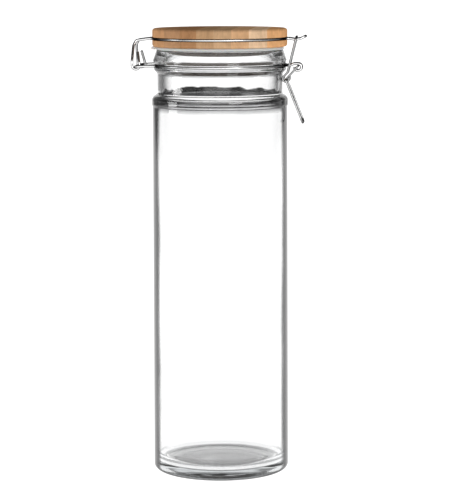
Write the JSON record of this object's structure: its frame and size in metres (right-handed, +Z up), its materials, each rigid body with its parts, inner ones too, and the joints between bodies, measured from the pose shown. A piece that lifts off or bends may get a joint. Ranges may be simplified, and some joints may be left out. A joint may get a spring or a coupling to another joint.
{
  "type": "clip-top storage jar",
  "caption": "Tall cylindrical clear glass storage jar with a bamboo disc lid, silicone seal, wire hinge and over-centre wire clip latch.",
  "frame": {"origin": "centre of the ring that the jar stands on, on the jar axis", "axes": "+Z up along the jar axis; +X from the jar axis towards the latch, -X towards the hinge; +Y away from the viewer, the wires being symmetric about y = 0"},
  "size_m": [0.1303, 0.1024, 0.3341],
  "materials": {
    "glass": "clear, polished",
    "steel_wire": "bright drawn wire",
    "silicone": "translucent, matte",
    "bamboo_plug": "oiled",
    "bamboo_1": "oiled, end and edge grain",
    "bamboo_2": "oiled, end and edge grain",
    "bamboo_3": "oiled, end and edge grain",
    "bamboo_4": "oiled, end and edge grain",
    "bamboo_5": "oiled, end and edge grain",
    "bamboo_6": "oiled, end and edge grain",
    "bamboo_7": "oiled, end and edge grain",
    "bamboo_8": "oiled, end and edge grain"
  },
  "bodies": {
    "jar": {"glass_jar": "glass", "neck_ring": "steel_wire"},
    "lid": {"lid_strip_1": "bamboo_1", "lid_strip_2": "bamboo_2", "lid_strip_3": "bamboo_3", "lid_strip_4": "bamboo_4", "lid_strip_5": "bamboo_5", "lid_strip_6": "bamboo_6", "lid_strip_7": "bamboo_7", "lid_strip_8": "bamboo_8", "lid_plug": "bamboo_plug", "lid_seal": "silicone", "lid_wire": "steel_wire"},
    "lever": {"latch_lever": "steel_wire"},
    "link": {"latch_link": "steel_wire"}
  },
  "joints": [
    {"name": "lid_hinge", "type": "hinge", "parent": "jar", "child": "lid", "pos_m": [-0.06125, 0, 0.3061], "axis": [0, -1, 0], "range_deg": [0, 210]},
    {"name": "latch_lever_pivot", "type": "hinge", "parent": "jar", "child": "lever", "pos_m": [0.0586, 0, 0.3059], "axis": [0, -1, 0], "range_deg": [0, 150]},
    {"name": "latch_link_pivot", "type": "hinge", "parent": "lever", "child": "link", "pos_m": [0.0496, 0, 0.296], "axis": [0, 1, 0], "range_deg": [0, 300]}
  ],
  "couplings": [
    {"joint": "latch_link_pivot", "follows": "latch_lever_pivot", "ratio": 2}
  ]
}
